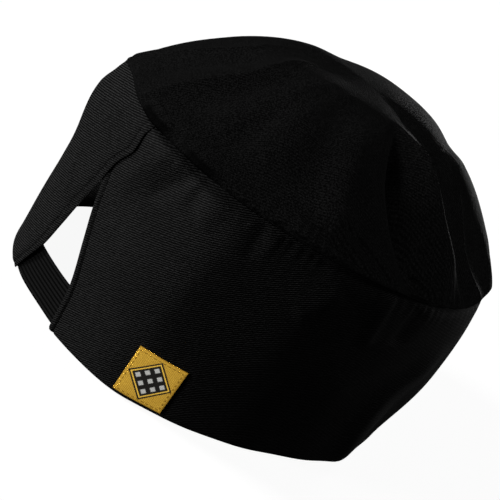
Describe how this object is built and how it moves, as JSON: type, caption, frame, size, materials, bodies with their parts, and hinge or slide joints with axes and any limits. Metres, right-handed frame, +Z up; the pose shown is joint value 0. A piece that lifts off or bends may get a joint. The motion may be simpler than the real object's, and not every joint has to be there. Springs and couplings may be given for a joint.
{
  "type": "chef's skull cap",
  "caption": "Black cloth skull cap for kitchen work, with a gathered soft crown, a V-shaped back opening, a ribbed elastic strap and a small woven label near the rim.",
  "frame": {"origin": "centre of the cap's box at the rim, on the surface that the rim rests on", "axes": "+Z up, out of the crown; -Y to the front of the cap and +Y to the back opening; -X to the wearer's right"},
  "size_m": [0.1692, 0.2028, 0.1415],
  "materials": {
    "band_twill": "black cotton twill with fine raised diagonal lines, matt",
    "crown_cloth": "black cotton twill, finer and slightly brushed, matt",
    "elastic": "black ribbed woven elastic, faint sheen",
    "woven_label": "gold woven label with a plain dark woven motif"
  },
  "bodies": {
    "root": {"band": "band_twill", "crown": "crown_cloth", "elastic_strap": "elastic", "label": "woven_label"}
  },
  "joints": []
}
